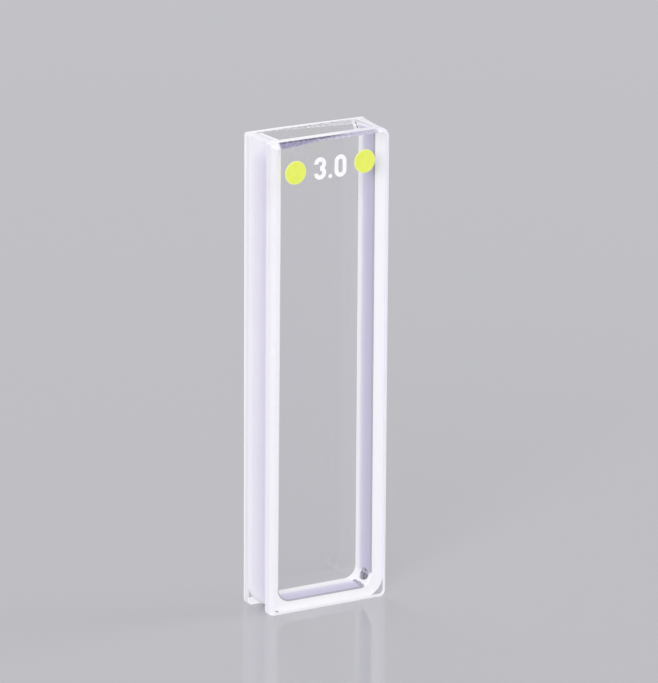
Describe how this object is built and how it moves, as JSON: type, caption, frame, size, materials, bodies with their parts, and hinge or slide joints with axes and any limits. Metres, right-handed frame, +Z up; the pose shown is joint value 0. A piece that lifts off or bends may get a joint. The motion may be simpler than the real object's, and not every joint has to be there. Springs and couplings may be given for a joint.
{
  "type": "cuvette",
  "caption": "Slim upright cuvette: clear polished windows fused to a ground U-shaped frame, open at the top, with printed dots and figures.",
  "frame": {"origin": "middle of the base, on the surface that the cell stands on", "axes": "+Z up towards the open top, +X across the windows from side to side, -Y out of the front window, which carries the printed marks; the light path runs along Y"},
  "size_m": [0.0126, 0.0055, 0.045],
  "materials": {
    "clear_quartz": "optically polished faces, ground white edges",
    "ground_quartz": "fine-ground, translucent white",
    "yellow_enamel": "fired enamel print, satin",
    "white_enamel": "fired enamel print, satin"
  },
  "bodies": {
    "root": {"front_window": "clear_quartz", "back_window": "clear_quartz", "u_frame": "ground_quartz", "printed_dots": "yellow_enamel", "printed_number": "white_enamel"}
  },
  "joints": []
}
